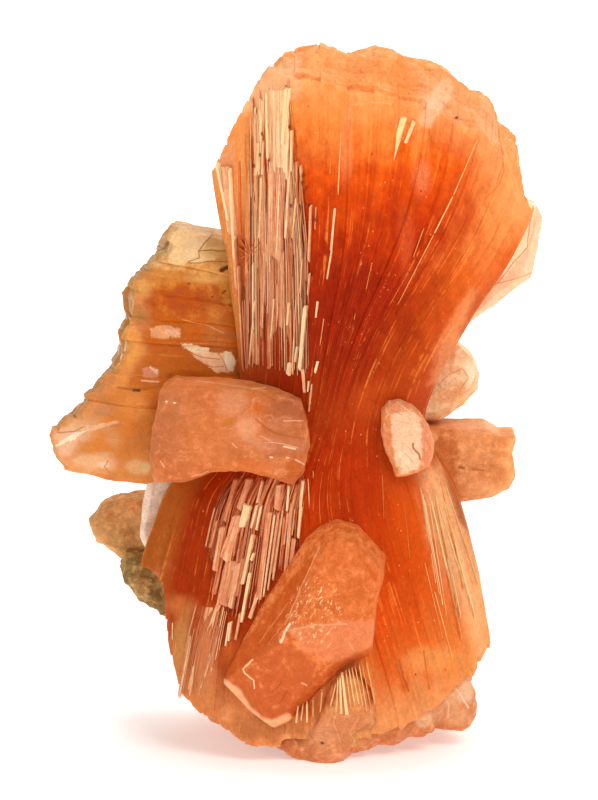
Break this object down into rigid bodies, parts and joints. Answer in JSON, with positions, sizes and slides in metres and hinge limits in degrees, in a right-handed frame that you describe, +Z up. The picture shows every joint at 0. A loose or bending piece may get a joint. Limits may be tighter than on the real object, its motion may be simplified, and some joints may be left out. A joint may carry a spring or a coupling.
{
  "type": "stilbite crystal specimen",
  "caption": "Bow-tie sheaf of bladed orange crystals standing upright, with a second sheaf crossing behind its waist and small blocky crystals on its front.",
  "frame": {"origin": "on the flat foot under the sheaf, where the specimen rests", "axes": "+Z up along the sheaf, -Y towards the viewer of the side that shows the cross crystal and the block crystal, +X to that viewer's right"},
  "size_m": [0.0494, 0.0277, 0.0706],
  "materials": {
    "orange_stilbite": "translucent, pearly to glassy, finely striated along the blades",
    "peach_stilbite": "translucent, frosted, slightly pitted",
    "cream_stilbite": "translucent, rough, pale",
    "dark_matrix": "rough, earthy"
  },
  "bodies": {
    "root": {"bow_tie_sheaf": "orange_stilbite", "front_cross_crystal": "peach_stilbite", "front_block_crystal": "peach_stilbite", "waist_crystal": "cream_stilbite", "lower_left_crystal": "peach_stilbite", "matrix_remnant": "dark_matrix"}
  },
  "joints": []
}
